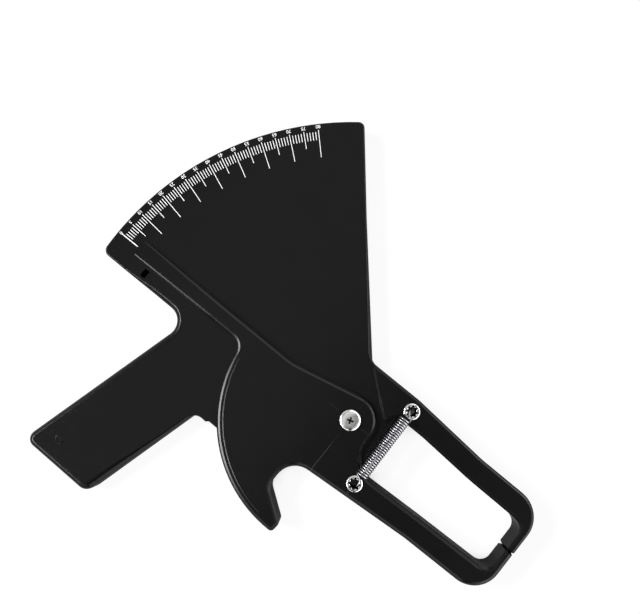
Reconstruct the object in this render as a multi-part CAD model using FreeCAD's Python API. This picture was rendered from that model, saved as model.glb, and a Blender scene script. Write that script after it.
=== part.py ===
"""Skinfold caliper: a pistol-grip body with a millimetre sector, and a sprung trigger lever.

It lies on its back. The origin is on the pivot axis, in the plane of the back: +X runs from the
pivot to the jaws, +Y to the 80 mm end of the scale, +Z up out of the scale. All sizes are mm.
"""
import FreeCAD, Part
import math
import os

V = FreeCAD.Vector
UP = V(0, 0, 1)
PIVOT = V(0, 0, 0)

# Levels, from the back of the body up
DEPTH = 16.5  # full depth of both jaw arms and of the trigger hook
FACE = 13.2  # front of the sector plate and the grip
RUN_GAP = 0.4  # between the plate and the lever that sweeps over it
WEB_BACK = FACE + RUN_GAP
LEVER_BACK = 0.5  # the lever hangs clear of the table
WALL = 2.6  # moulded wall
RIB = 1.5
RIB_SET_BACK = 0.6  # ribs stop short of the rim that the caliper lies on
RIB_PITCH = 29.0
ARM_RIBS = (42, 61, 80)
GRIP_SPINE = (-86.5, -17.8)

RIB_FAN_FIRST, RIB_FAN_STEP, RIB_FAN_COUNT = 140, 12, 4  # directions of the ribs from the pivot
HUB_RIBS = (-28, 30, 90, 238)
RING_START, RING_COUNT = 48.0, 4

# Sector plate and scale
SECTOR_R = 166.2
SECTOR_LOW = -15.3
SECTOR_EDGE_ANGLE = 130.1  # direction of the long free edge, from +X
SECTOR_EDGE_START = (-11.4, 31.5)
EDGE_DRAFT = 1.9  # the long edge's wall leans out at the back, this much where it meets the arm
EDGE_DRAFT_RUN = 120.0  # and less and less over this length
SECTOR_LOW_CORNER_R, SECTOR_TOP_CORNER_R = 4.2, 3.5
JAW_INNER_R = 104.4  # pivot to the inner edge of the jaws, where the gap is read
SCALE_ZERO_ANGLE = 180.3
SCALE_MAX = 80
TICK_SPAN = {1: (156.4, 161.2), 5: (152.2, 162.2), 10: (146.3, 162.2)}  # radii, by step
ZERO_TICK_SPAN = (151.7, 163.6)
TICK_WIDTH, ZERO_TICK_WIDTH = 0.34, 0.46
PRINT_THICKNESS = 0.08

# Grip
GRIP_LEAN = 15.0
GRIP_END = -121.3
GRIP_LEFT_ROOT = (-103.6, SECTOR_LOW)
GRIP_RIGHT_ROOT = (-67.3, -50.5)
GRIP_EDGE = 4.0  # the grip's rim is soft
PLATE_EDGE = 1.2  # the sector's rim is crisp
SOFT_START, SOFT_FULL = -152.0, -122.0  # the rim softens between these along the lower edge
SLOT = (-138.6, -9.8)
SLOT_SIZE = (3.2, 4.8)
GATE_MARK = (-115.1, -108.3)
GATE_MARK_R, GATE_MARK_DEPTH = 2.3, 0.15

# Trigger lever
TRIGGER_R = 71.8
SKIRT_R = 70.0  # the hook below the plate's front, inside the plate's cut-out
CUTOUT_R = 71.0
CUTOUT_ANGLE = 194.0  # the cut-out's end wall: the skirt meets it when fully open
SKIRT_ANGLE = 243.6
HUB_PLATE_R = 27.6
HUB_PLATE_X = 23.0  # where the hub plate ends beside the spring
SKIRT_INNER_R = 28.6
POINTER_TIP = -151.0
POINTER_HIGH, POINTER_LOW = 4.6, -5.7
POINTER_THIN = 1.6  # thickness left at the tip
POINTER_TAPER_START = -95.0
LEVER_BEVELS = (1.4, 0.6)  # the rim is broken by a 45 degree bevel, and its inner edge by another
ARM_BEVELS = (1.0, 0.45)
TIP_BEVEL_SHARE = 0.5  # the bevels at the pointer's tip are this much of the lever's
HOOK_TIP_X, HOOK_TIP_R = 4.5, 2.3
POINTER_ROOT_R = 7.0
HOOK_RIB_ANGLE, HOOK_RIB_R = 257.0, 49.0
TRIGGER_LINE_R, TRIGGER_LINE_ANGLES = 67.9, (190.0, 264.0)
CREASE = (0.4, 0.15)  # width and height of the fine raised lines on the hub

# Jaws
ARM_TOP_Y = SECTOR_EDGE_START[1]  # the fixed arm's back edge near the sector
JAW_OUT, JAW_IN = 108.6, JAW_INNER_R
JAW_BEVEL = 1.2
JAW_NICK = 0.8  # the corners of the closing faces are cut back by this much
JAW_NICK_IN, JAW_NICK_OUT = 1.4, 1.2  # and over this much of their width
JAW_CLOSED_GAP = 0.02

# Pivot and spring
SLEEVE_R = 4.0
SLEEVE_FIT = 0.05
SCREW_R = 2.5
SCREW_HEAD_R = 5.7
SCREW_HEAD_HEIGHT = 2.6
HEAD_SINK = 0.5
COUNTERBORE_R = 6.6
HEAD_BASE = DEPTH - HEAD_SINK + 0.1  # the head seats on the sleeve, just clear of the lever
DOME = ((1, 0), (1, 0.35), (0.88, 0.75), (0.6, 1))  # of head radius and height
SCREW_END_Z = 4.0
RECESS_LENGTH, RECESS_WIDTH, RECESS_DEPTH = 4.6, 1.1, 1.4
RECESS_TURN = 20.0
NUT_HEAD_R, NUT_HEAD_HEIGHT = 6.5, 1.6
WASHER_R, WASHER_THICKNESS = 9.0, 0.3
PIVOT_BOSS_R = 10.5
POST_X, POST_Y = 22.5, 24.3
POST_HEAD_R, POST_HEAD_HEIGHT = 4.25, 0.7
POST_TUBE_R, POST_BORE_R = 2.75, 2.4
POST_BOSS_R = 4.9
POST_TAIL_Z = 8.0  # back of the boss, where the eyelet's plain flange sits
POST_TAIL_R, POST_TAIL_HEIGHT = 3.6, 0.6
TAIL_POCKET_R = 3.8
COIL_R = 2.85  # to the middle of the wire
WIRE_R = 0.5
COIL_TURNS = 28
COIL_TOP_Y, COIL_LOW_Y = 18.4, -18.2
HOOK_PAST = 0.3  # the hooks stand this far past the eyelets' middles
HOOK_END_Z = 13.5
HOOK_SPLIT = 0.03  # left between the coil and its lower hook, which is a node of its own
HOOK_BEND_R = 1.0
HOOK_SIDES, HOOK_BEND_STEPS = 8, 4
COIL_Z = 20.1  # the coil rides just above the two mouldings' fronts
HOOK_Z = 17.8  # the hooks lead level over the eyelets' rims
COIL_STEPS = 6


def vec(x, y, z=0.0):
    return V(x, y, z)


def polar(radius, degrees, z=0.0):
    a = math.radians(degrees)
    return V(radius * math.cos(a), radius * math.sin(a), z)


def outline(corners):
    """A closed wire through (x, y, radius) corners. A fourth value is a point that an arc to the
    next corner passes through; the two ends of such an arc stay sharp here."""
    count = len(corners)
    ends = []
    for i, corner in enumerate(corners):
        here = vec(corner[0], corner[1])
        radius = corner[2]
        if not radius:
            ends.append((here, None, here))
            continue
        before = (vec(*corners[i - 1][:2]) - here).normalize()
        after = (vec(*corners[(i + 1) % count][:2]) - here).normalize()
        half = before.getAngle(after) / 2
        reach = radius / math.tan(half)
        centre = here + (before + after).normalize() * (radius / math.sin(half))
        middle = centre + (here - centre).normalize() * radius
        ends.append((here + before * reach, middle, here + after * reach))
    edges = []
    for i, corner in enumerate(corners):
        first, middle, last = ends[i]
        if middle:
            edges.append(Part.Arc(first, middle, last).toShape())
        nxt = ends[(i + 1) % count][0]
        if len(corner) > 3:
            edges.append(Part.Arc(last, vec(*corner[3]), nxt).toShape())
        elif last.distanceToPoint(nxt) > 1e-6:
            edges.append(Part.LineSegment(last, nxt).toShape())
    return Part.Wire(edges)


def slab(wire, low, high):
    face = Part.Face(wire)
    face.translate(V(0, 0, low))
    return face.extrude(V(0, 0, high - low))


def cylinder(radius, low, high, x=0.0, y=0.0):
    return Part.makeCylinder(radius, high - low, V(x, y, low))


def upright_edges(solid, x, y, reach=0.6):
    """The vertical edges that pass within reach of (x, y)."""
    found = []
    for edge in solid.Edges:
        ends = [vertex.Point for vertex in edge.Vertexes]
        if len(ends) == 2 and (ends[1] - ends[0]).cross(UP).Length < 1e-6:
            if math.hypot(ends[0].x - x, ends[0].y - y) < reach:
                found.append(edge)
    return found


def rim_edges(solid, level, keep):
    """Edges lying in the plane at level whose middle point passes the test keep(point)."""
    found = []
    for edge in solid.Edges:
        box = edge.BoundBox
        if abs(box.ZMin - level) < 1e-6 and abs(box.ZMax - level) < 1e-6:
            middle = edge.valueAt((edge.FirstParameter + edge.LastParameter) / 2)
            if keep(middle):
                found.append(edge)
    return found


def rounded(solid, edges, radius_at):
    """The solid with edges rounded. radius_at(point) gives the radius at each end of an edge."""
    document = FreeCAD.newDocument("rounding")
    base = document.addObject("Part::Feature", "base")
    base.Shape = solid
    fillet = document.addObject("Part::Fillet", "fillet")
    fillet.Base = base
    entries = []
    for number, edge in enumerate(solid.Edges, 1):
        if any(edge.isSame(chosen) for chosen in edges):
            first, last = edge.valueAt(edge.FirstParameter), edge.valueAt(edge.LastParameter)
            entries.append((number, radius_at(first), radius_at(last)))
    fillet.Edges = entries
    document.recompute()
    result = fillet.Shape.copy()
    FreeCAD.closeDocument(document.Name)
    return result


def hollow_inside(solid, back, ceiling):
    """What is taken out of a moulding from its back face up to ceiling, leaving walls of WALL."""
    flat = [f for f in solid.Faces if f.BoundBox.ZMax < back + 1e-6]
    inner = max(flat, key=lambda face: face.Area).OuterWire.makeOffset2D(-WALL)
    parts = [slab(wire, 0, ceiling - back) for wire in inner.Wires]
    return parts[0].fuse(parts[1:]) if len(parts) > 1 else parts[0]


def bar(start, angle, length, low, high, width=RIB):
    """A straight upright rib from start in the direction of angle."""
    rib = Part.makeBox(length, width, high - low, V(0, -width / 2, low))
    rib.rotate(PIVOT, UP, angle)
    rib.translate(vec(*start))
    return rib


def ring(radius, low, high, width=RIB):
    """Ribs round the pivot as straight chords, which meet on the directions of the fan."""
    sides = round(360 / RIB_FAN_STEP)
    prisms = []
    for r in (radius + width / 2, radius - width / 2):
        points = [polar(r, RIB_FAN_FIRST + RIB_FAN_STEP * i) for i in range(sides)]
        prisms.append(slab(Part.makePolygon(points + points[:1]), low, high))
    return prisms[0].cut(prisms[1])


def block(x, y, size_x, size_y, low, high):
    """A box centred on (x, y)."""
    return Part.makeBox(size_x, size_y, high - low, V(x - size_x / 2, y - size_y / 2, low))


# Body moulding

def line_x(start, angle, y):
    return start[0] + (y - start[1]) / math.tan(math.radians(angle))


def sector_top_corner():
    """Where the sector's long free edge meets its arc."""
    start = vec(*SECTOR_EDGE_START)
    along = polar(1, SECTOR_EDGE_ANGLE)
    b = start.dot(along)
    reach = -b + math.sqrt(b * b - start.dot(start) + SECTOR_R ** 2)
    return start + along * reach


def sector_left():
    """Where the sector's arc meets its lower edge."""
    return -math.sqrt(SECTOR_R ** 2 - SECTOR_LOW ** 2)


def plate_outline():
    grip_angle = 90 - GRIP_LEAN
    left_low = line_x(GRIP_LEFT_ROOT, grip_angle, GRIP_END)
    right_low = line_x(GRIP_RIGHT_ROOT, grip_angle, GRIP_END)
    root_y = GRIP_RIGHT_ROOT[1] + 1.2
    root_x = -math.sqrt(CUTOUT_R ** 2 - root_y ** 2)
    cut_start = math.degrees(math.atan2(root_y, root_x)) % 360
    cut_middle = polar(CUTOUT_R, (cut_start + CUTOUT_ANGLE) / 2)
    cut_end = polar(CUTOUT_R, CUTOUT_ANGLE)
    hub_start = polar(HUB_PLATE_R, CUTOUT_ANGLE)
    hub_end = vec(HUB_PLATE_X, -math.sqrt(HUB_PLATE_R ** 2 - HUB_PLATE_X ** 2))
    top = sector_top_corner()
    arc_middle = polar(SECTOR_R, 158)
    return outline([
        (sector_left(), SECTOR_LOW, 0),
        (SOFT_START, SECTOR_LOW, 0),
        (SOFT_FULL, SECTOR_LOW, 0),
        (*GRIP_LEFT_ROOT, 9.0),
        (left_low, GRIP_END, 5.0),
        (right_low, GRIP_END, 6.0),
        (*GRIP_RIGHT_ROOT, 5.5),
        (-59.9, GRIP_RIGHT_ROOT[1], 0),
        (-58.7, root_y, 0),
        (root_x, root_y, 0, (cut_middle.x, cut_middle.y)),
        (cut_end.x, cut_end.y, 0),
        (hub_start.x, hub_start.y, 0, (0, -HUB_PLATE_R)),
        (hub_end.x, hub_end.y, 0),
        (HUB_PLATE_X, 17.3, 0),
        (HUB_PLATE_X, ARM_TOP_Y - 0.1, 0),
        (*SECTOR_EDGE_START, 12.0),
        (top.x, top.y, 0, (arc_middle.x, arc_middle.y)),
    ])


def jaw_end(side, gap):
    """Corners of a closing face, cut back at both ends; side is +1 or -1."""
    near, far = side * gap, side * (gap + JAW_NICK)
    return [(JAW_IN, far, 0), (JAW_IN + JAW_NICK_IN, near, 0), (JAW_OUT - JAW_NICK_OUT, near, 0),
            (JAW_OUT, far, 0)]


def arm_outline():
    """The raised jaw arm of the body, with the slanted wall left of the spring."""
    return outline([
        (-8.0, ARM_TOP_Y, 0),
        (-6.9, 27.6, 1.8),
        (14.6, 10.2, 1.8),
        (18.2, 17.3, 2.0),
        (38.0, 17.3, 40.0),
        (70.2, 15.4, 40.0),
        (JAW_IN, 15.0, 6.3),
        *jaw_end(1, 0),
        (JAW_OUT, 27.8, 15.5),
        (66.7, 28.1, 40.0),
        (22.0, ARM_TOP_Y, 40.0),
    ])


def jaw_bevels(side, back):
    """Wedges that bevel the front and back edges of one jaw's end; side is +1 or -1."""
    cutters = []
    for level, way in ((back, 1), (DEPTH, -1)):
        wedge = Part.makePolygon([
            V(JAW_IN - 1, 0, level), V(JAW_IN - 1, side * JAW_BEVEL, level),
            V(JAW_IN - 1, 0, level + way * JAW_BEVEL), V(JAW_IN - 1, 0, level)])
        cutters.append(Part.Face(wedge).extrude(V(JAW_OUT - JAW_IN + 2, 0, 0)))
    return cutters


def plate_blank():
    """The sector, grip and hub plate as one block, with its rim rounded."""
    plate = slab(plate_outline(), 0, FACE)
    top = sector_top_corner()
    plate = plate.makeFillet(SECTOR_LOW_CORNER_R, upright_edges(plate, sector_left(), SECTOR_LOW))
    plate = plate.makeFillet(SECTOR_TOP_CORNER_R, upright_edges(plate, top.x, top.y))
    free_rim = rim_edges(plate, FACE, lambda p: p.Length > CUTOUT_R + 2 or p.y > ARM_TOP_Y - 1)
    return rounded(plate, free_rim, rim_radius)


def rim_radius(point):
    on_grip = point.y < -60
    by_the_root = SOFT_FULL - 1 < point.x < -100 and point.y < SECTOR_LOW + 1
    return GRIP_EDGE if on_grip or by_the_root else PLATE_EDGE


def bevelled(solid, sizes, keep):
    """The solid with its front rim bevelled, and the inner edge of that bevel bevelled again."""
    for size in sizes:
        solid = solid.makeChamfer(size, rim_edges(solid, DEPTH, keep))
    return solid


def arm_blank():
    """The jaw arm, with its front rim bevelled all the way round to the jaw's face."""
    arm = slab(arm_outline(), 0, DEPTH)
    return bevelled(arm, ARM_BEVELS, lambda p: abs(p.y) > JAW_BEVEL and p.x > -7.3)


def edge_draft():
    """The lean of the long edge's wall: a sliver that tapers from the arm's corner to nothing."""
    along = polar(1, SECTOR_EDGE_ANGLE)
    root = vec(*SECTOR_EDGE_START) - along * EDGE_DRAFT
    tip = root + along * EDGE_DRAFT_RUN
    high = root + UP * (FACE - PLATE_EDGE)
    out = root + polar(EDGE_DRAFT, SECTOR_EDGE_ANGLE - 90)
    faces = [flat_face(*corners) for corners in (
        (root, tip, out), (root, high, tip), (root, out, high), (tip, high, out))]
    return Part.makeSolid(Part.makeShell(faces))


def body_ribs():
    """The ribs in the hollow back: a fan and rings behind the scale, a ladder in grip and arm."""
    low, high = RIB_SET_BACK, DEPTH
    fan = []
    for i in range(RIB_FAN_COUNT):
        angle = RIB_FAN_FIRST + RIB_FAN_STEP * i
        start = 0 if i % 2 == 0 else RING_START + RIB_PITCH
        fan.append(bar(tuple(polar(start, angle))[:2], angle, SECTOR_R - start, low, high))
    rings = [ring(RING_START + RIB_PITCH * i, low, high) for i in range(RING_COUNT)]
    behind_scale = Part.makeBox(SECTOR_R, SECTOR_R, DEPTH, V(-SECTOR_R, SECTOR_LOW - 3, 0))
    fan = [rib.common(behind_scale) for rib in fan + rings]
    hub = [bar((0, 0), a, HUB_PLATE_R, low, high) for a in HUB_RIBS]
    grip_axis = -90 - GRIP_LEAN
    grip = [bar(GRIP_SPINE, grip_axis, 110, low, high)]
    grip += [bar((-140, SECTOR_LOW - 3 - RIB_PITCH * i), 0, 100, low, high) for i in range(4)]
    arm = [bar((x, 12), 90, 20, low, high) for x in ARM_RIBS]
    return fan + hub + grip + arm


def body_moulding():
    plate = plate_blank()
    arm = arm_blank()
    plate_hollow = hollow_inside(plate, 0, FACE - WALL)
    arm_hollow = hollow_inside(arm, 0, DEPTH - WALL)
    slot_wall = block(*SLOT, SLOT_SIZE[0] + 2 * RIB, SLOT_SIZE[1] + 2 * RIB, 0, FACE)
    bosses = [cylinder(PIVOT_BOSS_R, 0, FACE),
              cylinder(POST_BOSS_R, POST_TAIL_Z, DEPTH, POST_X, POST_Y)]
    hollow = plate_hollow.fuse(arm_hollow).cut(body_ribs() + bosses + [slot_wall])
    openings = [cylinder(SLEEVE_R, 0, FACE),
                cylinder(NUT_HEAD_R, 0, NUT_HEAD_HEIGHT),
                cylinder(POST_TUBE_R, 0, DEPTH, POST_X, POST_Y),
                cylinder(GATE_MARK_R, FACE - GATE_MARK_DEPTH, FACE, *GATE_MARK),
                block(*SLOT, *SLOT_SIZE, 0, FACE)]
    solid = plate.fuse([arm, edge_draft()])
    return solid.cut([hollow] + openings + jaw_bevels(1, 0)).removeSplitter()


# Lever moulding

def lever_outline():
    corner = -math.sqrt(TRIGGER_R ** 2 - POINTER_LOW ** 2)
    hook = (HOOK_TIP_X, -math.sqrt(TRIGGER_R ** 2 - HOOK_TIP_X ** 2))
    trigger_middle = polar(TRIGGER_R, 228)
    return outline([
        (POINTER_TIP, POINTER_HIGH, 4.0),
        (POINTER_TAPER_START, POINTER_HIGH, 0),
        (-43.3, POINTER_HIGH, 40.0),
        (14.4, 17.6, 14.2),
        (14.4, -18.9, 15.0),
        (60.0, -16.6, 30.0),
        (JAW_IN, -15.0, 6.3),
        *jaw_end(-1, JAW_CLOSED_GAP),
        (JAW_OUT, -28.2, 15.5),
        (60.0, -29.4, 30.0),
        (-11.9, -35.5, 12.0),
        (-11.9, -54.1, 7.0),
        (5.0, -65.7, 2.3),
        (*hook, 0, (trigger_middle.x, trigger_middle.y)),
        (corner, POINTER_LOW, 0),
        (POINTER_TAPER_START, POINTER_LOW, 0),
        (POINTER_TIP, POINTER_LOW, 4.0),
    ])


def pointer_section(x, top, bevel_share):
    """Across the pointer at x: a flat back, upright sides and the two bevels on each side."""
    outer, inner = (size * bevel_share for size in LEVER_BEVELS)
    step = inner / math.sqrt(2)
    side = [(0, WEB_BACK), (0, top - outer), (outer - step, top - step), (outer + inner, top)]
    corners = [V(x, POINTER_LOW + inset, z) for inset, z in side]
    corners += [V(x, POINTER_HIGH - inset, z) for inset, z in reversed(side)]
    return Part.makePolygon(corners + corners[:1])


def pointer_form():
    """The pointer's section from the hub's side to its tip, where it thins and its end is bevelled."""
    thin = WEB_BACK + POINTER_THIN
    bevel = LEVER_BEVELS[0] * TIP_BEVEL_SHARE
    return Part.makeLoft([
        pointer_section(POINTER_TAPER_START, DEPTH, 1),
        pointer_section(POINTER_TIP + bevel, thin, TIP_BEVEL_SHARE),
        pointer_section(POINTER_TIP, thin - bevel, TIP_BEVEL_SHARE)], True, True)


def lever_slab(low, high):
    solid = slab(lever_outline(), low, high)
    hook_y = -math.sqrt(TRIGGER_R ** 2 - HOOK_TIP_X ** 2)
    solid = solid.makeFillet(HOOK_TIP_R, upright_edges(solid, HOOK_TIP_X, hook_y))
    corner_x = -math.sqrt(TRIGGER_R ** 2 - POINTER_LOW ** 2)
    return solid.makeFillet(POINTER_ROOT_R, upright_edges(solid, corner_x, POINTER_LOW))


def lever_web():
    """The flat part that sweeps over the plate: hub, trigger face, arm face and pointer."""
    plain = lever_slab(WEB_BACK, DEPTH)
    web = bevelled(plain, LEVER_BEVELS, lambda p: abs(p.y) > JAW_BEVEL)
    tip_side = Part.makeBox(100, 100, DEPTH, V(POINTER_TAPER_START - 100, -50, 0))
    return web.cut(tip_side).fuse(plain.common(pointer_form()))


def lever_depth():
    """What reaches down beside the plate: the hook, the finger wall and the jaw arm."""
    low, high = LEVER_BACK, WEB_BACK + 0.5
    full = lever_slab(low, high)
    hook_edge = polar(200, SKIRT_ANGLE)
    beyond = outline([(0, 0, 0), (hook_edge.x, hook_edge.y, 0), (-200, -200, 0), (-200, 200, 0),
                      (0, 200, 0)])
    rim = cylinder(80, low, high).cut(cylinder(SKIRT_R, low, high))
    rim = rim.common(Part.makeBox(160, 40, high, V(-80, -85, 0)))
    deep = full.cut([cylinder(SKIRT_INNER_R, low, high), slab(beyond, low, high), rim])
    return max(deep.Solids, key=lambda solid: solid.Volume)


def lever_ribs():
    low, high = LEVER_BACK + RIB_SET_BACK, DEPTH
    hook = [bar((0, 0), HOOK_RIB_ANGLE, TRIGGER_R, low, high), ring(HOOK_RIB_R, low, high)]
    return hook + [bar((x, -35), 90, 22, low, high) for x in ARM_RIBS]


def crease(x, y, angle, length):
    """A fine raised line on the lever's face, triangular across, that starts at (x, y)."""
    width, height = CREASE
    section = Part.makePolygon([V(0, -width, DEPTH - height), V(0, width, DEPTH - height),
                                V(0, 0, DEPTH + height), V(0, -width, DEPTH - height)])
    line = Part.Face(section).extrude(V(length, 0, 0))
    line.rotate(PIVOT, UP, angle)
    line.translate(V(x, y, 0))
    return line


def hub_creases():
    """Fine raised lines left where the moulded plastic met around the hub and the eyelet."""
    return [crease(0, 7.3, 90, 6.0), crease(0, -9.0, -90, 25.0), crease(7.0, 0, 0, 5.6),
            crease(-7.9, 0, 180, 6.2), crease(POST_X, -29.0, -90, 2.6)]


def trigger_line():
    """A fine raised line that follows the trigger's arc inside its rim."""
    width, height = CREASE
    first, last = TRIGGER_LINE_ANGLES
    discs = [Part.makeCylinder(TRIGGER_LINE_R + side * width / 2, 2 * height, V(0, 0, DEPTH - height),
                               UP, last - first) for side in (1, -1)]
    line = discs[0].cut(discs[1])
    line.rotate(PIVOT, UP, first)
    return line


def lever_moulding():
    deep = lever_depth()
    hollow = hollow_inside(deep, LEVER_BACK, DEPTH - WALL)
    boss = cylinder(POST_BOSS_R, POST_TAIL_Z, DEPTH, POST_X, -POST_Y)
    hollow = hollow.cut(lever_ribs() + [boss])
    openings = [cylinder(SLEEVE_R + SLEEVE_FIT, WEB_BACK, DEPTH),
                cylinder(COUNTERBORE_R, DEPTH - HEAD_SINK, DEPTH),
                cylinder(POST_TUBE_R, 0, DEPTH, POST_X, -POST_Y),
                cylinder(TAIL_POCKET_R, 0, POST_TAIL_Z, POST_X, -POST_Y)]
    bevels = [wedge.translate(V(0, -JAW_CLOSED_GAP, 0)) for wedge in jaw_bevels(-1, LEVER_BACK)]
    solid = lever_web().fuse([deep, trigger_line()] + hub_creases())
    return solid.cut([hollow] + openings + bevels).removeSplitter()


# Pivot

def turned(profile, x=0.0, y=0.0):
    """A solid turned about the upright axis at (x, y) from (radius, z) points."""
    points = [V(r, 0, z) for r, z in profile]
    solid = Part.Face(Part.makePolygon(points + points[:1])).revolve(PIVOT, UP, 360)
    solid.translate(V(x, y, 0))
    return solid


def pivot_screw():
    """Pan head with a cross recess, on a shank that screws into the barrel nut."""
    base, top = HEAD_BASE, HEAD_BASE + SCREW_HEAD_HEIGHT
    head = [(SCREW_HEAD_R * r, base + SCREW_HEAD_HEIGHT * h) for r, h in DOME]
    screw = turned([(0, SCREW_END_Z), (SCREW_R, SCREW_END_Z), (SCREW_R, base)] + head + [(0, top)])
    cross = [block(0, 0, *size, top - RECESS_DEPTH, top + 1)
             for size in ((RECESS_LENGTH, RECESS_WIDTH), (RECESS_WIDTH, RECESS_LENGTH))]
    for arm in cross:
        arm.rotate(PIVOT, UP, RECESS_TURN)
    return screw.cut(cross)


def pivot_barrel_nut():
    """The bearing sleeve: pressed in from the back, with a flat head flush with the back."""
    nut = turned([(0, 0), (NUT_HEAD_R, 0), (NUT_HEAD_R, NUT_HEAD_HEIGHT), (SLEEVE_R, NUT_HEAD_HEIGHT),
                  (SLEEVE_R, HEAD_BASE), (0, HEAD_BASE)])
    return nut.cut(cylinder(SCREW_R, SCREW_END_Z - 1, HEAD_BASE))


def pivot_washer():
    washer = cylinder(WASHER_R, FACE, FACE + WASHER_THICKNESS)
    return washer.cut(cylinder(SLEEVE_R, FACE, FACE + WASHER_THICKNESS))


# Eyelets and spring

def eyelet(y):
    """A tubular rivet: plain flange under the boss, and a rim rolled over on the front."""
    head, tail = DEPTH + POST_HEAD_HEIGHT, POST_TAIL_Z - POST_TAIL_HEIGHT
    return turned([(POST_BORE_R, tail), (POST_TAIL_R, tail), (POST_TAIL_R, POST_TAIL_Z),
                   (POST_TUBE_R, POST_TAIL_Z), (POST_TUBE_R, DEPTH), (POST_HEAD_R, DEPTH),
                   (POST_HEAD_R - 0.5, head), (POST_BORE_R, head)], POST_X, y)


def coil_end_angle():
    """Direction from the coil's axis to its ends, so that both hooks leave it level."""
    return math.asin((HOOK_Z - COIL_Z) / COIL_R)


def wire_section(centre, out, along, sides):
    """A regular polygon across the wire, of the same area as the round wire."""
    radius = WIRE_R * math.sqrt(math.pi / (sides / 2 * math.sin(2 * math.pi / sides)))
    corners = []
    for i in range(sides + 1):
        a = 2 * math.pi * (i + 0.5) / sides
        corners.append(centre + out * radius * math.cos(a) + along * radius * math.sin(a))
    return Part.makePolygon(corners)


def coil_corners(i):
    """The four corners of the wire's square section after i steps of the helix."""
    turn = i / COIL_STEPS
    y = COIL_TOP_Y + (COIL_LOW_Y - COIL_TOP_Y) * turn / COIL_TURNS
    a = coil_end_angle() + 2 * math.pi * turn
    out = V(math.cos(a), 0, math.sin(a))
    middle = V(POST_X, y, COIL_Z) + out * COIL_R
    half = WIRE_R * math.sqrt(math.pi) / 2
    return [middle + out * half * p + V(0, 1, 0) * half * q
            for p, q in ((-1, -1), (1, -1), (1, 1), (-1, 1))]


def flat_face(*corners):
    return Part.Face(Part.makePolygon(list(corners) + [corners[0]]))


def coil():
    """The coil of square wire about an axis along Y. Its helical sides are split into flat faces."""
    rings = [coil_corners(i) for i in range(COIL_TURNS * COIL_STEPS + 1)]
    faces = [flat_face(*rings[0]), flat_face(*rings[-1])]
    for here, after in zip(rings, rings[1:]):
        for k in range(4):
            a, b = here[k], here[(k + 1) % 4]
            c, d = after[(k + 1) % 4], after[k]
            faces += [flat_face(a, b, c), flat_face(a, c, d)]
    shell = Part.makeShell(faces)
    shell.sewShape()
    return Part.makeSolid(shell)


def hook(way, reach):
    """The wire from one end of the coil over the eyelet's rim and down its bore. reach is how
    far it starts from the middle of the coil's end, towards the eyelet."""
    coil_y = COIL_TOP_Y if way > 0 else COIL_LOW_Y
    coil_end = V(POST_X + COIL_R * math.cos(coil_end_angle()), coil_y, HOOK_Z)
    over = V(POST_X + HOOK_PAST, way * (POST_Y + HOOK_PAST), HOOK_Z)
    run = (over - coil_end).normalize()
    across = run.cross(UP)
    bend = over - run * HOOK_BEND_R - UP * HOOK_BEND_R
    sections = [wire_section(coil_end + run * reach, UP, across, HOOK_SIDES)]
    for i in range(HOOK_BEND_STEPS + 1):
        a = math.pi / 2 * i / HOOK_BEND_STEPS
        out = UP * math.cos(a) + run * math.sin(a)
        sections.append(wire_section(bend + out * HOOK_BEND_R, out, across, HOOK_SIDES))
    sections.append(wire_section(V(over.x, over.y, HOOK_END_Z), run, across, HOOK_SIDES))
    return Part.makeLoft(sections, True, True)


def return_spring():
    return coil().fuse(hook(1, -0.6 * WIRE_R)).removeSplitter()


def spring_lever_hook():
    """The coil's other hook, split off where the coil ends so that it can follow the lever."""
    return hook(-1, WIRE_R + HOOK_SPLIT)


def tick_angle(reading):
    """Direction of the pointer's line when the jaws' inner edges are this far apart."""
    return SCALE_ZERO_ANGLE - 2 * math.degrees(math.asin(reading / (2 * JAW_INNER_R)))


def tick(reading, span, width):
    inner, outer = span
    angle = tick_angle(reading)
    start = polar(inner, angle)
    return bar((start.x, start.y), angle, outer - inner, FACE, FACE + PRINT_THICKNESS, width)


def scale_ticks():
    """One thin ink line for each millimetre between the jaws, longer every 5 and 10."""
    lines = [tick(0, ZERO_TICK_SPAN, ZERO_TICK_WIDTH)]
    for reading in range(1, SCALE_MAX + 1):
        step = 10 if reading % 10 == 0 else 5 if reading % 5 == 0 else 1
        lines.append(tick(reading, TICK_SPAN[step], TICK_WIDTH))
    return Part.makeCompound(lines)


def main():
    os.makedirs("parts", exist_ok=True)
    shapes = {
        "body_moulding": body_moulding(),
        "lever_moulding": lever_moulding(),
        "pivot_screw": pivot_screw(),
        "pivot_barrel_nut": pivot_barrel_nut(),
        "pivot_washer": pivot_washer(),
        "fixed_arm_rivet": eyelet(POST_Y),
        "lever_arm_rivet": eyelet(-POST_Y),
        "return_spring": return_spring(),
        "spring_lever_hook": spring_lever_hook(),
        "scale_ticks": scale_ticks(),
    }
    for name, shape in shapes.items():
        shape.exportStep(f"parts/{name}.step")
        print(name, shape.isValid(), len(shape.Solids), round(shape.Volume / 1000, 3), "cm3")


main()
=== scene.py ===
"""Dresses the skinfold caliper: moulded black ABS, plated screw and eyelets, wire spring, printed scale.

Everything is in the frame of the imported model: the origin is on the pivot axis in the plane of the
back, +X runs to the jaws, +Y to the 80 mm end of the scale, +Z up out of the scale. The shapes are
given in millimetres, and MM turns them into the metres of the model.
"""

import math

import bmesh
import bpy
from mathutils import Matrix, Vector

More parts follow.
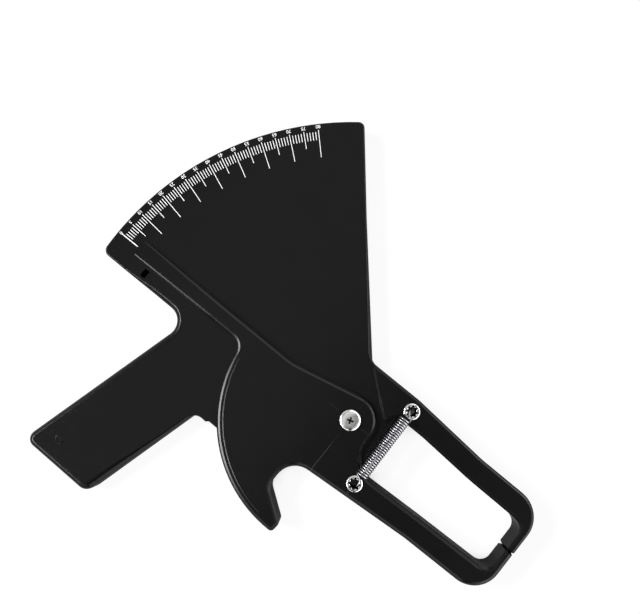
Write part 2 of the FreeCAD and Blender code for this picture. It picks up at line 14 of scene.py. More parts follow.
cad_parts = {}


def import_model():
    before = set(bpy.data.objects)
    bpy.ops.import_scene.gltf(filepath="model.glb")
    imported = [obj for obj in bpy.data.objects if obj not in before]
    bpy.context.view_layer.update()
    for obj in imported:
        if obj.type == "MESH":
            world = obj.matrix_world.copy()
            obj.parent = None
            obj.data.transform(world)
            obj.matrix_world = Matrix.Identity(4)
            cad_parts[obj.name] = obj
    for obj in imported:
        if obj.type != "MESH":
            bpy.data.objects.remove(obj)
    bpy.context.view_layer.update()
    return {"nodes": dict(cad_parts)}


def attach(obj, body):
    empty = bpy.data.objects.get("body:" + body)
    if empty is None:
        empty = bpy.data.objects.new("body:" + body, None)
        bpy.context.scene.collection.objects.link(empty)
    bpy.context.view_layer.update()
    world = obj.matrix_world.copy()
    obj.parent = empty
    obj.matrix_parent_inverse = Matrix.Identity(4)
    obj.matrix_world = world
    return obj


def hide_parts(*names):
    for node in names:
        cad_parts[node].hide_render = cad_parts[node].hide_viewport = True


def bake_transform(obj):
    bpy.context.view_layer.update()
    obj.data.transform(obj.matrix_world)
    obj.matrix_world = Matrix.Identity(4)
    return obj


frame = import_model()

MM = 0.001
PIVOT = (0, 0, 0)
PIVOT_AXIS = Vector((0, 0, 1))

# Levels and places of the caliper that the new pieces need
PLATE_FACE = 13.2
LEVER_FACE = 16.5  # also the face of the bosses under the eyelets
POST_X, POST_Y = 22.5, 24.3  # the eyelets' middle, at +POST_Y and at -POST_Y
PRINT_THICKNESS = 0.08


# Nodes

NOISE_LOW, NOISE_HIGH = 0.3, 0.7  # nearly all of a Noise texture's values lie between these
# The sockets of a Mix node by number, because their names repeat: factor, A, B and the result
MIX_SOCKETS = {"RGBA": (0, 6, 7, 2), "FLOAT": (0, 2, 3, 0)}


def srgb(hex_colour):
    """A #rrggbb colour as linear RGBA."""
    channels = [int(hex_colour[i:i + 2], 16) / 255 for i in (1, 3, 5)]
    linear = [c / 12.92 if c <= 0.04045 else ((c + 0.055) / 1.055) ** 2.4 for c in channels]
    return (*linear, 1.0)


def add_node(tree, kind, settings=None, inputs=None):
    """One node. An input is given a constant, or the output socket that it is linked to."""
    node = tree.nodes.new(kind)
    for name, value in (settings or {}).items():
        setattr(node, name, value)
    for name, value in (inputs or {}).items():
        if isinstance(value, bpy.types.NodeSocket):
            tree.links.new(value, node.inputs[name])
        else:
            node.inputs[name].default_value = value
    return node


def maths(tree, operation, *values):
    """The result of a Math node."""
    inputs = dict(enumerate(values))
    return add_node(tree, "ShaderNodeMath", {"operation": operation}, inputs).outputs["Value"]


def vector_maths(tree, operation, *values, result="Value"):
    """A result of a Vector Math node, its Value or its Vector."""
    inputs = dict(enumerate(values))
    return add_node(tree, "ShaderNodeVectorMath", {"operation": operation}, inputs).outputs[result]


def map_range(tree, value, start, end, low=0.0, high=1.0, kind="LINEAR"):
    """The value between start and end moved to between low and high, and held there beyond them."""
    return add_node(tree, "ShaderNodeMapRange", {"interpolation_type": kind}, {
        "Value": value, "From Min": start, "From Max": end, "To Min": low, "To Max": high,
    }).outputs["Result"]


def soft_step(tree, value, start, end, top=1.0):
    """0 where the value is at start, softly up to top where it is at end."""
    return map_range(tree, value, start, end, high=top, kind="SMOOTHSTEP")


def mix(tree, kind, factor, a, b):
    """From a at factor 0 to b at factor 1, of the kind RGBA or FLOAT."""
    at_factor, at_a, at_b, at_result = MIX_SOCKETS[kind]
    return add_node(tree, "ShaderNodeMix", {"data_type": kind}, {
        at_factor: factor, at_a: a, at_b: b}).outputs[at_result]


def between(tree, factor, colour_a, colour_b):
    """A colour from colour_a to colour_b. Each is a #rrggbb string or a colour socket."""
    a, b = (srgb(colour) if isinstance(colour, str) else colour for colour in (colour_a, colour_b))
    return mix(tree, "RGBA", factor, a, b)


def object_place(tree):
    """The place on the piece, in the frame of the model."""
    return add_node(tree, "ShaderNodeTexCoord").outputs["Object"]


def height_of(tree, vector):
    """The Z part of a vector."""
    return add_node(tree, "ShaderNodeSeparateXYZ", inputs={"Vector": vector}).outputs["Z"]


def grain(tree, size_mm, detail=2.0):
    """Noise whose grains are about size_mm wide."""
    return add_node(tree, "ShaderNodeTexNoise", inputs={
        "Vector": object_place(tree), "Scale": 1 / (size_mm * MM), "Detail": detail}).outputs["Fac"]


def spread(tree, noise, low, high):
    """Noise spread over the range low to high."""
    return map_range(tree, noise, NOISE_LOW, NOISE_HIGH, low, high)


def relief(tree, height, depth_mm):
    """A surface that rises by depth_mm from height 0 to height 1."""
    return add_node(tree, "ShaderNodeBump", inputs={
        "Height": height, "Distance": depth_mm * MM, "Strength": 1.0}).outputs["Normal"]


def new_material(name):
    """A material with an empty node tree."""
    material = bpy.data.materials.new(name)
    material.use_nodes = True
    tree = material.node_tree
    tree.nodes.clear()
    return material, tree


def surface(tree, **inputs):
    """The Principled shader and the output, with the given inputs."""
    shader = add_node(tree, "ShaderNodeBsdfPrincipled", inputs={
        name.replace("_", " "): value for name, value in inputs.items()})
    add_node(tree, "ShaderNodeOutputMaterial", inputs={"Surface": shader.outputs["BSDF"]})


# Materials

PAINTED_SHADE_FADE = 0.05  # mm above and below its level over which the painted shade in a hollow fades
WAVE_LENGTH = math.pi / 10  # of a Wave texture at scale 1
RING_PITCH = 2.303
# mm from the wire's middle line, away from the coil's axis, where the painted shade starts and is full
PAINTED_SHADE_START, PAINTED_SHADE_FULL = 0.05, -0.15
SHADE_REACH = 25  # mm within which a wall takes open air from the paper
PAPER_GLOW = 0.92
# Shares of open air at which the paper starts to glow and glows fully
SEEN_GLOW = (0.1, 0.4)
MIRRORED_GLOW = (0.8, 1.1)


def moulded_abs():
    """Black ABS from a polished mould: even satin gloss, with the faintest cloudiness in it."""
    material, tree = new_material("moulded_black_abs")
    cloud = grain(tree, 14.0)
    texture = grain(tree, 0.5, detail=1.0)  # the real grain is 0.1 mm, too fine to show
    surface(tree,
            Base_Color=between(tree, spread(tree, cloud, 0.0, 1.0), "#09090A", "#0B0B0C"),
            Roughness=spread(tree, cloud, 0.18, 0.21),
            IOR=1.25,
            Normal=relief(tree, texture, 0.002))
    return material


def nickel_plate(name, hollow_below, hollow_radius):
    """Bright nickel plate on steel: mirror-like, with the faint waviness of a rolled part. Below one
    level, and within one radius of the pivot axis, it is painted dark as shade in the hollow."""
    material, tree = new_material(name)
    wave = grain(tree, 1.6)
    bright = between(tree, spread(tree, wave, 0.0, 1.0), "#D6D5D2", "#EAEAEA")
    surface(tree,
            # painted shade: #1E1E20 below the level and within the radius, in place of the hollow's shadow
            Base_Color=between(tree, in_hollow(tree, hollow_below, hollow_radius), bright, "#1E1E20"),
            Metallic=1.0,
            Roughness=spread(tree, wave, 0.10, 0.22),
            Normal=relief(tree, wave, 0.03))
    return material


def in_hollow(tree, level, radius):
    """1 below the level and within the radius of the pivot axis (both in mm), 0 elsewhere."""
    place = object_place(tree)
    below = map_range(tree, height_of(tree, place), (level + PAINTED_SHADE_FADE) * MM, (level - PAINTED_SHADE_FADE) * MM)
    flat = vector_maths(tree, "MULTIPLY", place, (1, 1, 0), result="Vector")
    within = maths(tree, "LESS_THAN", vector_maths(tree, "LENGTH", flat), radius * MM)
    return maths(tree, "MULTIPLY", below, within)


def turned_steel():
    """Nickel-plated steel faced on a lathe: rings about the pivot axis."""
    material, tree = new_material("turned_nickel_steel")
    rings = add_node(tree, "ShaderNodeTexWave", {"wave_type": "RINGS", "rings_direction": "Z"}, {
        "Vector": object_place(tree), "Scale": WAVE_LENGTH / (RING_PITCH * MM), "Distortion": 0.4,
    }).outputs["Fac"]
    surface(tree,
            Base_Color=between(tree, rings, "#C9C8C4", "#DCDBD8"),
            Metallic=1.0,
            Roughness=spread(tree, grain(tree, 2.0), 0.22, 0.34),
            Normal=relief(tree, rings, 0.01))
    return material


def drawn_wire():
    """Hard-drawn spring wire, nickel bright outside the coil. The coil's inside, which shows between
    the turns, is painted dark as shade."""
    material, tree = new_material("drawn_spring_wire")
    marks = grain(tree, 0.5)
    bright = between(tree, spread(tree, marks, 0.0, 1.0), "#909094", "#A4A4A8")
    surface(tree,
            # painted shade: the coil's inside is #26262A, in place of the shadow between the turns
            Base_Color=between(tree, inside_coil(tree), bright, "#26262A"),
            Metallic=1.0,
            Roughness=spread(tree, marks, 0.26, 0.34),
            Normal=relief(tree, marks, 0.006))
    return material


def inside_coil(tree):
    """1 on the side of the wire that faces the coil's axis, 0 outside and on the hooks."""
    top, low = coil_axis(0), coil_axis(1)
    along = (top - low).normalized()
    offset = vector_maths(tree, "SUBTRACT", object_place(tree), (top + low) / 2 * MM, result="Vector")
    across = vector_maths(tree, "CROSS_PRODUCT", offset, along, result="Vector")
    near = map_range(tree, vector_maths(tree, "LENGTH", across),
                     (COIL_R + PAINTED_SHADE_START) * MM, (COIL_R + PAINTED_SHADE_FULL) * MM)
    travel = maths(tree, "ABSOLUTE", vector_maths(tree, "DOT_PRODUCT", offset, along))
    within = maths(tree, "LESS_THAN", travel, (COIL_TOP - COIL_LOW) / 2 * MM)
    return maths(tree, "MULTIPLY", near, within)


def natural_nylon():
    """A stamped nylon washer: off-white and waxy."""
    material, tree = new_material("natural_nylon")
    cloud = grain(tree, 3.0)
    surface(tree,
            Base_Color=between(tree, spread(tree, cloud, 0.0, 1.0), "#D8D5C8", "#E6E3D8"),
            Roughness=spread(tree, cloud, 0.42, 0.55),
            IOR=1.53)
    return material


def printed_ink():
    """White pad-printing ink: thin and matt, a little weaker where the pad pressed less."""
    material, tree = new_material("white_pad_print")
    weak = grain(tree, 0.8)
    surface(tree,
            Base_Color=between(tree, spread(tree, weak, 0.0, 1.0), "#D4D4D4", "#F2F2F2"),
            Roughness=spread(tree, weak, 0.5, 0.65),
            IOR=1.45)
    return material


def studio_paper():
    """The floor: white paper. Camera and mirror rays see it mostly at full white, the rest of what
    they see is the lit paper, which keeps the shadow. Walls mirror the paper at their foot, so
    mirror rays see more of its shadow, and to mirror rays the paper is painted darker everywhere, as
    painted shade."""
    material, tree = new_material("studio_paper")
    path = add_node(tree, "ShaderNodeLightPath").outputs
    open_air = add_node(tree, "ShaderNodeAmbientOcclusion", {"samples": 8}, {
        "Distance": SHADE_REACH * MM}).outputs["AO"]
    mirrored = maths(tree, "MAXIMUM", path["Is Glossy Ray"], path["Is Transmission Ray"])
    mirrored = maths(tree, "MULTIPLY", mirrored, soft_step(tree, open_air, *MIRRORED_GLOW, PAPER_GLOW))
    seen = maths(tree, "MULTIPLY", path["Is Camera Ray"],
                 soft_step(tree, open_air, *SEEN_GLOW, PAPER_GLOW))
    # painted shade: mirror rays see the paper in #8C8C8C, darker than its own #FBFBFB
    colour = between(tree, path["Is Glossy Ray"], "#FBFBFB", "#8C8C8C")
    paper = add_node(tree, "ShaderNodeBsdfDiffuse", inputs={"Color": colour})
    white = add_node(tree, "ShaderNodeEmission", inputs={"Color": (1, 1, 1, 1), "Strength": 1.0})
    mixed = add_node(tree, "ShaderNodeMixShader", inputs={
        "Fac": maths(tree, "ADD", seen, mirrored), 1: paper.outputs["BSDF"], 2: white.outputs["Emission"]})
    add_node(tree, "ShaderNodeOutputMaterial", inputs={"Surface": mixed.outputs["Shader"]})
    return material


# Meshes

def new_object(name, data):
    """An object in the scene with this mesh, curve, lamp or camera."""
    added = bpy.data.objects.new(name, data)
    bpy.context.scene.collection.objects.link(added)
    return added


def finish_piece(name, bm, material, smooth_angle=None):
    """An object with its place in its mesh, from a bmesh in millimetres."""
    bmesh.ops.scale(bm, vec=(MM, MM, MM), verts=bm.verts)
    mesh = bpy.data.meshes.new(name)
    bm.to_mesh(mesh)
    bm.free()
    mesh.materials.append(material)
    piece = new_object(name, mesh)
    mesh.shade_smooth()
    if smooth_angle:
        mesh.set_sharp_from_angle(angle=math.radians(smooth_angle))
    return piece


def turned(bm, profile, steps, centre=(0, 0)):
    """Spins (radius, z) points about the upright axis at centre. Ends on the axis close up."""
    verts = [bm.verts.new((centre[0] + r, centre[1], z)) for r, z in profile]
    edges = [bm.edges.new(pair) for pair in zip(verts, verts[1:])]
    bmesh.ops.spin(bm, geom=verts + edges, cent=(*centre, 0), axis=PIVOT_AXIS, dvec=(0, 0, 0),
                   angle=2 * math.pi, steps=steps, use_merge=True, use_duplicate=False)
    bmesh.ops.remove_doubles(bm, verts=bm.verts, dist=1e-4)
    bmesh.ops.recalc_face_normals(bm, faces=bm.faces)


def evaluated_mesh(source):
    """The mesh that an object's modifiers or curve give."""
    graph = bpy.context.evaluated_depsgraph_get()
    graph.update()
    return bpy.data.meshes.new_from_object(source.evaluated_get(graph))


def curve_mesh(curve):
    """The mesh that a curve or a text gives."""
    carrier = new_object(curve.name, curve)
    mesh = evaluated_mesh(carrier)
    bpy.data.objects.remove(carrier)
    return mesh


def cut_away(piece, cutter):
    """Takes the cutter out of the piece, for good."""
    modifier = piece.modifiers.new("cut", "BOOLEAN")
    modifier.object = cutter
    modifier.operation = "DIFFERENCE"
    modifier.solver = "EXACT"
    mesh = evaluated_mesh(piece)
    piece.modifiers.clear()
    piece.data = mesh
    bpy.data.objects.remove(cutter)


# Pivot screw

SCREW_HEAD_R, SCREW_HEAD_BASE, SCREW_HEAD_TOP = 5.95, 16.1, 18.7
SCREW_SHANK_R, SCREW_END, SCREW_CHAMFER = 2.5, 4.0, 0.5
SCREW_STEPS = 72
HEAD_UNDERSIDE_R = SCREW_HEAD_R - 0.15
# The head's side view is a superellipse: a tight roll at the rim and nearly flat at the top
HEAD_POWER_R, HEAD_POWER_Z = 0.4, 0.55
HEAD_STEPS = 18
RECESS_REACH, RECESS_WIDTH, RECESS_DEPTH = 2.6, 1.2, 2.0
RECESS_FOOT = (0.4, 0.6, 1)  # the size of the recess's foot against its mouth
RECESS_TURN = math.radians(20)
RECESS_PAINTED_SHADE = 0.2  # mm below the head's top where the painted shade starts, and mm past the cross where it ends


def screw_profile():
    """From the shank's end up the side to the axis: shank, flat underside, rolled edge, low dome."""
    points = [(0, SCREW_END), (SCREW_SHANK_R - SCREW_CHAMFER, SCREW_END),
              (SCREW_SHANK_R, SCREW_END + SCREW_CHAMFER), (SCREW_SHANK_R, SCREW_HEAD_BASE),
              (HEAD_UNDERSIDE_R, SCREW_HEAD_BASE)]
    height = SCREW_HEAD_TOP - SCREW_HEAD_BASE
    for i in range(1, HEAD_STEPS):
        a = math.pi / 2 * i / HEAD_STEPS
        points.append((SCREW_HEAD_R * math.cos(a) ** HEAD_POWER_R,
                       SCREW_HEAD_BASE + height * math.sin(a) ** HEAD_POWER_Z))
    return points + [(0, SCREW_HEAD_TOP)]


def recess_wing(turn, material):
    """One bar of the cross, narrower and shorter at its foot."""
    bm = bmesh.new()
    wing = bmesh.ops.create_cube(bm, size=1)["verts"]
    bmesh.ops.scale(bm, vec=(2 * RECESS_REACH, RECESS_WIDTH, 2 * RECESS_DEPTH), verts=wing)
    low = [v for v in wing if v.co.z < 0]
    bmesh.ops.scale(bm, vec=RECESS_FOOT, verts=low)
    bmesh.ops.rotate(bm, cent=PIVOT, matrix=Matrix.Rotation(turn, 3, "Z"), verts=wing)
    bmesh.ops.translate(bm, vec=(0, 0, SCREW_HEAD_TOP), verts=wing)
    return finish_piece("recess_wing", bm, material)


def pivot_screw(material):
    """The pan-head screw with its cross recess."""
    bm = bmesh.new()
    turned(bm, screw_profile(), SCREW_STEPS)
    piece = finish_piece("pivot_screw_bright", bm, material)
    for turn in (RECESS_TURN, RECESS_TURN + math.pi / 2):
        cut_away(piece, recess_wing(turn, material))
    piece.data.set_sharp_from_angle(angle=math.radians(35))
    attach(piece, "body")
    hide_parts("pivot_screw")


# Eyelets

EYELET_R, EYELET_TOP = 4.35, 17.2
RIM_LIFT = 0.1  # the rolled rim's foot over the boss
RIM_UNDERSIDE_R = EYELET_R - 0.15
RIM_POWER = 0.7  # below 1, the roll is flatter on top than a half circle
RIM_STEPS = 20
TUBE_R, BORE_R, TAIL_R, TAIL_Z, BOSS_BACK = 2.75, 2.4, 3.6, 7.4, 8.0
MOUTH_DEPTH = 0.4  # from the boss's face down to where the rim has turned into the bore
PETALS = 8
SPLIT_END_R = 3.6  # the splits between the petals run from the bore out to here
SPLIT_HALF_WIDTH = 0.82
SPLIT_EDGE = 0.06  # mm on either side of a split's edge over which it falls
SPLIT_DEPTH = 0.9
SPLIT_ABOVE = LEVER_FACE + 0.05  # only the rim above this level is split
PETAL_TURN = math.radians(4)
RING_STEPS = 192
EYELET_PAINTED_SHADE = 0.25  # mm over the boss up to which the splits are painted dark as shade
ALL_EYELETS_R = 40  # mm from the pivot axis, past both eyelets


def eyelet_profile():
    """Tail flange, tube, and the rim that is rolled over onto the boss."""
    points = [(BORE_R, TAIL_Z), (TAIL_R, TAIL_Z), (TAIL_R, BOSS_BACK), (TUBE_R, BOSS_BACK),
              (TUBE_R, LEVER_FACE), (RIM_UNDERSIDE_R, LEVER_FACE)]
    middle = (EYELET_R + BORE_R) / 2
    half = (EYELET_R - BORE_R) / 2
    height = EYELET_TOP - LEVER_FACE - RIM_LIFT
    for i in range(RIM_STEPS + 1):
        a = math.pi * i / RIM_STEPS
        points.append((middle + half * math.cos(a),
                       LEVER_FACE + RIM_LIFT + height * math.sin(a) ** RIM_POWER))
    return points + [(BORE_R, LEVER_FACE - MOUTH_DEPTH), (BORE_R, LEVER_FACE - SPLIT_DEPTH)]


def split_petals(bm, y):
    """Pushes the rim down into narrow wedges that open to the bore."""
    pitch = 2 * math.pi / PETALS
    for v in bm.verts:
        dx, dy = v.co.x - POST_X, v.co.y - y
        r = math.hypot(dx, dy)
        if v.co.z < SPLIT_ABOVE or r > SPLIT_END_R:
            continue
        a = (math.atan2(dy, dx) - PETAL_TURN) % pitch
        off = abs(a - pitch / 2) * r
        width = SPLIT_HALF_WIDTH * (SPLIT_END_R - r) / (SPLIT_END_R - BORE_R)
        if off < width + SPLIT_EDGE:
            v.co.z -= SPLIT_DEPTH * min(1.0, (width + SPLIT_EDGE - off) / (2 * SPLIT_EDGE))


def eyelet(name, node, y, body, material):
    """A star-split eyelet at this y, in place of the node that rides on the body."""
    bm = bmesh.new()
    profile = eyelet_profile()
    turned(bm, profile + profile[:1], RING_STEPS, (POST_X, y))
    split_petals(bm, y)
    piece = finish_piece(name, bm, material, smooth_angle=50)
    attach(piece, body)
    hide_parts(node)


# Spring

COIL_R, WIRE_R = 2.95, 0.45
COIL_TURNS = 28
COIL_TOP, COIL_LOW = 18.8, -18.8
COIL_Z = 20.2
COIL_TOP_X, COIL_LOW_X = 21.6, 22.35  # the coil leans a little: its hooks aren't quite central
TURN_STEPS = 28
# The hooks, from the eyelet's bore to the coil: offsets from the eyelet's middle, and height.
# The second coordinate points from the coil to the eyelet.
TOP_HOOK = ((-0.9, 1.1, 13.6), (-0.9, 0.9, 15.6), (-0.9, -0.9, 16.9), (-0.3, -2.3, 17.9),
            (0.9, -2.95, 18.05), (1.9, -3.5, 18.4), (2.3, -4.3, 19.2))
LOW_HOOK = ((1.1, 0.6, 13.6), (1.2, 0.9, 15.6), (1.5, 0.2, 17.2), (1.7, -1.6, 17.9),
            (1.2, -3.2, 18.1), (-0.6, -4.2, 18.3), (-1.9, -4.6, 19.0))


def coil_axis(share):
    """A point on the coil's axis, from 0 at its top end to 1 at its lower end."""
    return Vector((COIL_TOP_X + (COIL_LOW_X - COIL_TOP_X) * share,
                   COIL_TOP + (COIL_LOW - COIL_TOP) * share, COIL_Z))


def coil_point(turns):
    """A point on the wire's line after so many turns from the top end."""
    a = 2 * math.pi * turns
    return coil_axis(turns / COIL_TURNS) + Vector((math.cos(a), 0, math.sin(a))) * COIL_R


def wire_line():
    """The wire from the upper eyelet through the coil to the lower eyelet. The coil's last half
    turn is left to the lower hook."""
    top = [Vector((POST_X + x, POST_Y + y, z)) for x, y, z in TOP_HOOK]
    low = [Vector((POST_X + x, -POST_Y - y, z)) for x, y, z in LOW_HOOK]
    steps = COIL_TURNS * TURN_STEPS - TURN_STEPS // 2
    coil = [coil_point(i / TURN_STEPS) for i in range(steps + 1)]
    return top + coil + low[::-1]


def wire_curve():
    """The wire as a round curve in metres."""
    curve = bpy.data.curves.new("spring_wire", "CURVE")
    curve.dimensions = "3D"
    curve.bevel_depth = WIRE_R * MM
    curve.bevel_resolution = 3
    curve.use_fill_caps = True
    curve.resolution_u = 1
    places = wire_line()
    spline = curve.splines.new("NURBS")
    spline.points.add(len(places) - 1)
    for point, place in zip(spline.points, places):
        point.co = (*(place * MM), 1)
    spline.order_u = 3
    spline.use_endpoint_u = True
    return curve


def return_spring(material):
    """The tension spring with both hooks as one wire."""
    mesh = curve_mesh(wire_curve())
    mesh.materials.clear()
    mesh.materials.append(material)
    mesh.shade_smooth()
    piece = new_object("tension_spring", mesh)
    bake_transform(piece)
    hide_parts("return_spring", "spring_lever_hook")


# Printed numbers

JAW_R = 104.4
ZERO_ANGLE = 180.3
LAST_READING, NUMBER_STEP = 80, 5
NUMBER_R = 164.2
NUMBER_HEIGHT = 1.95
FIGURE_SHARE = 0.72  # a figure's height in the plain typeface, against its type size


def scale_angle(reading):
    """Direction from the pivot of the printed line for a jaw gap in mm."""
    return math.radians(ZERO_ANGLE - 2 * math.degrees(math.asin(reading / (2 * JAW_R))))


def number_mesh(reading):
    """The number as a thin flat mesh in millimetres, centred on the origin."""
    text = bpy.data.curves.new("number", "FONT")
    text.body = str(reading)
    text.align_x = "CENTER"
    text.align_y = "CENTER"
    text.size = NUMBER_HEIGHT / FIGURE_SHARE
    text.extrude = PRINT_THICKNESS / 2
    return curve_mesh(text)


def scale_numbers(material):
    """The numbers of the scale, each with its head to the pivot."""
    bm = bmesh.new()
    level = PLATE_FACE + PRINT_THICKNESS / 2
    for reading in range(0, LAST_READING + 1, NUMBER_STEP):
        known = set(bm.verts)
        bm.from_mesh(number_mesh(reading))
        fresh = [v for v in bm.verts if v not in known]
        a = scale_angle(reading)
        turn = Matrix.Rotation(a + math.pi / 2, 3, "Z")
        bmesh.ops.rotate(bm, cent=PIVOT, matrix=turn, verts=fresh)
        place = (NUMBER_R * math.cos(a), NUMBER_R * math.sin(a), level)
        bmesh.ops.translate(bm, vec=place, verts=fresh)
    piece = finish_piece("scale_numbers", bm, material)
    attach(piece, "body")


# Line on the trigger

LINE_R, LINE_START, LINE_END = 67.9, math.radians(190), math.radians(264)
LINE_HALF_WIDTH, LINE_HEIGHT = 0.55, 0.205
LINE_SINK = 0.05
LINE_STEPS = 96


def trigger_line(material):
    """The fine ridge that follows the trigger's arc inside its rim."""
    bm = bmesh.new()
    inner, outer = LINE_R - LINE_HALF_WIDTH, LINE_R + LINE_HALF_WIDTH
    section = ((inner, -LINE_SINK), (inner, 0), (LINE_R, LINE_HEIGHT), (outer, 0), (outer, -LINE_SINK))
    verts = [bm.verts.new((r, 0, LEVER_FACE + z)) for r, z in section]
    face = bm.faces.new(verts)
    bmesh.ops.rotate(bm, cent=PIVOT, matrix=Matrix.Rotation(LINE_START, 3, "Z"), verts=bm.verts)
    bmesh.ops.spin(bm, geom=list(bm.verts) + list(bm.edges) + [face], cent=PIVOT, axis=PIVOT_AXIS,
                   dvec=(0, 0, 0), angle=LINE_END - LINE_START, steps=LINE_STEPS, use_merge=False,
                   use_duplicate=False)
    bmesh.ops.recalc_face_normals(bm, faces=bm.faces)
    piece = finish_piece("trigger_line", bm, material, smooth_angle=15)
    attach(piece, "lever")


# Gate mark

MARK_X, MARK_Y = -115.5, -108.1
MARK_PROFILE = ((0, 0), (0, 0.06), (1.7, 0.06), (2.2, 0.16), (2.6, 0))
MARK_STEPS = 48


def gate_mark(material):
    """The round scar near the grip's end, where the mould was filled: a flat dish in a low rim."""
    bm = bmesh.new()
    turned(bm, [(r, PLATE_FACE + z) for r, z in MARK_PROFILE], MARK_STEPS, (MARK_X, MARK_Y))
    piece = finish_piece("gate_mark", bm, material, smooth_angle=30)
    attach(piece, "body")


# Stage. Angles are in degrees from +X towards +Y, seen from above.

FLOOR_SIZE = 3000
SKY_STRENGTH = 0.45
# Level of the panels from the scale's side, 0, through straight up, 0.5, to the jaws' side, 1
PANEL_LEVELS = ((0.0, 0.9), (0.08, 0.9), (0.15, 0.5), (0.3, 0.5), (0.34, 0.85), (0.5, 0.8), (0.53, 0.3),
                (0.62, 0.3), (0.68, 0.5), (0.78, 0.9), (0.84, 1.1), (0.9, 3.0), (1.0, 3.0))
# Share of that level along the spring's direction, from straight up, 0, to level, 1
PANEL_ENDS = ((0.0, 1.0), (0.85, 1.0), (0.95, 0.3), (1.0, 0.3))
# Angle, reach, lowest and highest edge, and level of each strip lamp
STRIP_LAMPS = (
    (225, 0.76, 0.52, 0.60, 64.0),  # the long lamp on the trigger's side
    (42, 0.67, 0.56, 0.68, 10.0),  # the long lamp on the jaws' side
    (290, 0.72, 0.50, 0.64, 3.0),  # a weak one in front
    (95, 0.55, 0.64, 0.78, 2.5),  # a weak one behind
    (45, 0.2, 0.12, 0.42, 2.5),  # the pale wall of the room
)
LAMP_EDGE, LAMP_END = 0.03, 0.1  # half of the soft zone along a lamp's edges and at its ends
STAND_ANGLE = 309
STAND_SIDES = (0.08, 0.16)  # how far off its middle line the stand ends, softly
STAND_HEAD = (0.45, 0.3)  # how far from level the stand's head ends, softly


def floor(material):
    """The paper that the caliper lies on."""
    bm = bmesh.new()
    bmesh.ops.create_grid(bm, x_segments=1, y_segments=1, size=FLOOR_SIZE)
    finish_piece("studio_floor", bm, material)


def area_light(name, place, target, size, watts):
    """A lamp that shiny surfaces don't see: they see the panels and strips of the sky instead."""
    data = bpy.data.lights.new(name, "AREA")
    data.shape = "RECTANGLE"
    data.size, data.size_y = size
    data.energy = watts
    light = new_object(name, data)
    light.location = place
    light.rotation_euler = (Vector(target) - Vector(place)).to_track_quat("-Z", "Y").to_euler()
    light.visible_glossy = False


def lean(tree, direction, angle):
    """How far the direction leans to this angle: 0 straight up, 1 level."""
    towards = (math.cos(math.radians(angle)), math.sin(math.radians(angle)), 0)
    return vector_maths(tree, "DOT_PRODUCT", direction, towards)


def ramp(tree, value, stops):
    """A grey level that runs straight between (value, level) stops. The values are from 0 to 1."""
    node = add_node(tree, "ShaderNodeFloatCurve", inputs={"Value": value})
    curve = node.mapping.curves[0]
    node.mapping.use_clip = False
    for place, level in stops[1:-1]:
        curve.points.new(place, level)
    curve.points[0].location = stops[0]
    curve.points[-1].location = stops[-1]
    for point in curve.points:
        point.handle_type = "VECTOR"
    node.mapping.update()
    return node.outputs["Value"]


def softboxes(tree):
    """What shiny surfaces see: long panels overhead, each of one level along the spring's
    direction, strip lamps low around them, and a dark camera stand."""
    direction = add_node(tree, "ShaderNodeTexCoord").outputs["Generated"]
    across = map_range(tree, lean(tree, direction, 0), -1.0, 1.0)
    along = maths(tree, "ABSOLUTE", lean(tree, direction, 90))
    level = maths(tree, "MULTIPLY", ramp(tree, across, PANEL_LEVELS), ramp(tree, along, PANEL_ENDS))
    for lamp in STRIP_LAMPS:
        level = maths(tree, "ADD", level, strip_lamp(tree, direction, *lamp))
    return maths(tree, "MULTIPLY", level, beside_stand(tree, direction))


def strip_lamp(tree, direction, angle, reach, low, high, level):
    """A long lamp to one side, between two heights (0 level with the table, 1 straight up). It is
    as wide as directions lean to its side by more than its reach."""
    height = height_of(tree, direction)
    above = soft_step(tree, height, low - LAMP_EDGE, low + LAMP_EDGE, level)
    below = soft_step(tree, height, high + LAMP_EDGE, high - LAMP_EDGE)
    beside = soft_step(tree, lean(tree, direction, angle), reach - LAMP_END, reach + LAMP_END)
    return maths(tree, "MULTIPLY", maths(tree, "MULTIPLY", above, below), beside)


def beside_stand(tree, direction):
    """0 where the camera's stand blocks the view of the lights, 1 elsewhere."""
    off_side = maths(tree, "ABSOLUTE", lean(tree, direction, STAND_ANGLE + 90))
    beside = soft_step(tree, off_side, *STAND_SIDES)
    above = soft_step(tree, lean(tree, direction, STAND_ANGLE), *STAND_HEAD)
    return maths(tree, "MAXIMUM", beside, above)


def world():
    """The air of the studio: white to the camera, softboxes to shiny surfaces, and an even level
    for the rest of the light."""
    scene_world = bpy.data.worlds.new("studio_air")
    bpy.context.scene.world = scene_world
    scene_world.use_nodes = True
    tree = scene_world.node_tree
    tree.nodes.clear()
    path = add_node(tree, "ShaderNodeLightPath").outputs
    strength = mix(tree, "FLOAT", path["Is Glossy Ray"], SKY_STRENGTH, softboxes(tree))
    seen = maths(tree, "MAXIMUM", path["Is Camera Ray"], path["Is Transmission Ray"])
    strength = mix(tree, "FLOAT", seen, strength, 1.0)
    sky = add_node(tree, "ShaderNodeBackground", inputs={"Color": (1, 1, 1, 1), "Strength": strength})
    add_node(tree, "ShaderNodeOutputWorld", inputs={"Surface": sky.outputs["Background"]})


# Camera

IMAGE_WIDTH, IMAGE_HEIGHT = 640, 614
FOCAL_PIXELS = 629
SENSOR_WIDTH = 36.0
FOOT_PIXEL = (340, 370)  # the pixel that shows the point straight below the camera
FOOT = Vector((-20.95, 17.27, 0)) * MM
CAMERA_HEIGHT = 356 * MM
ROW_TURN = math.radians(39.2)  # from the caliper's +X to the image's right, seen from above


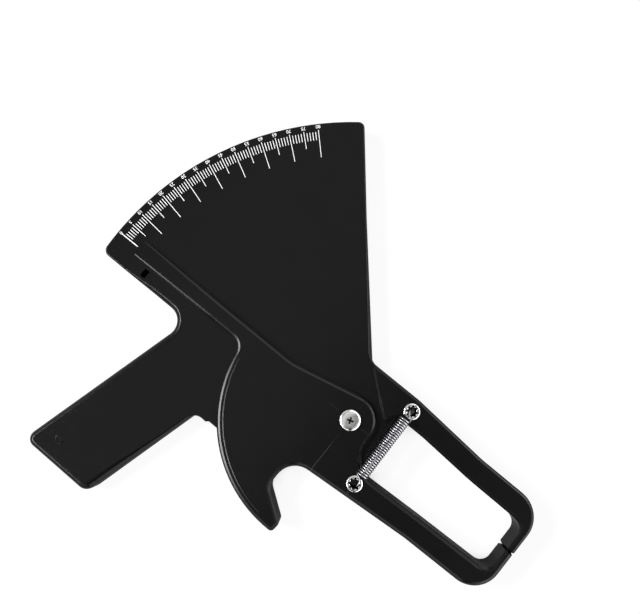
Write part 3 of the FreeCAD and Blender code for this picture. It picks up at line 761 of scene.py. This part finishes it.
def camera():
    """The camera over the table, a little off straight down."""
    data = bpy.data.cameras.new("view")
    data.sensor_fit = "HORIZONTAL"
    data.sensor_width = SENSOR_WIDTH
    data.lens = FOCAL_PIXELS / IMAGE_WIDTH * SENSOR_WIDTH
    data.clip_start = 0.01
    down = Vector((FOOT_PIXEL[0] - IMAGE_WIDTH / 2, IMAGE_HEIGHT / 2 - FOOT_PIXEL[1], -FOCAL_PIXELS))
    up = -down.normalized()
    right = Vector((1, 0, 0))
    right = (right - up * right.dot(up)).normalized()
    tilt = Matrix((right, up.cross(right), up))
    turn = Matrix.Rotation(ROW_TURN, 3, "Z")
    stand = Matrix.Translation(FOOT + Vector((0, 0, CAMERA_HEIGHT)))
    view = new_object("view", data)
    view.matrix_world = stand @ (turn @ tilt).to_4x4()
    bpy.context.scene.camera = view


def dress_nodes(finishes):
    """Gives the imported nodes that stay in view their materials."""
    for name, material in finishes.items():
        node = frame["nodes"][name]
        node.data.materials.clear()
        node.data.materials.append(material)


plastic, wire, ink = moulded_abs(), drawn_wire(), printed_ink()
dress_nodes({
    "body_moulding": plastic,
    "lever_moulding": plastic,
    "pivot_barrel_nut": turned_steel(),
    "pivot_washer": natural_nylon(),
    "scale_ticks": ink,
})
pivot_screw(nickel_plate("bright_screw_plate", SCREW_HEAD_TOP - RECESS_PAINTED_SHADE, RECESS_REACH + RECESS_PAINTED_SHADE))
plate = nickel_plate("bright_eyelet_plate", LEVER_FACE + EYELET_PAINTED_SHADE, ALL_EYELETS_R)
eyelet("fixed_arm_eyelet", "fixed_arm_rivet", POST_Y, "body", plate)
eyelet("lever_arm_eyelet", "lever_arm_rivet", -POST_Y, "lever", plate)
return_spring(wire)
scale_numbers(ink)
trigger_line(plastic)
gate_mark(plastic)
floor(studio_paper())
area_light("key", place=(-0.58, -0.22, 0.60), target=(-0.03, 0, 0), size=(0.55, 0.12), watts=12)
area_light("fill", place=(0.5, -0.3, 0.8), target=(0, 0, 0), size=(0.9, 0.9), watts=2)
world()
camera()
bpy.context.scene.view_settings.view_transform = "Standard"
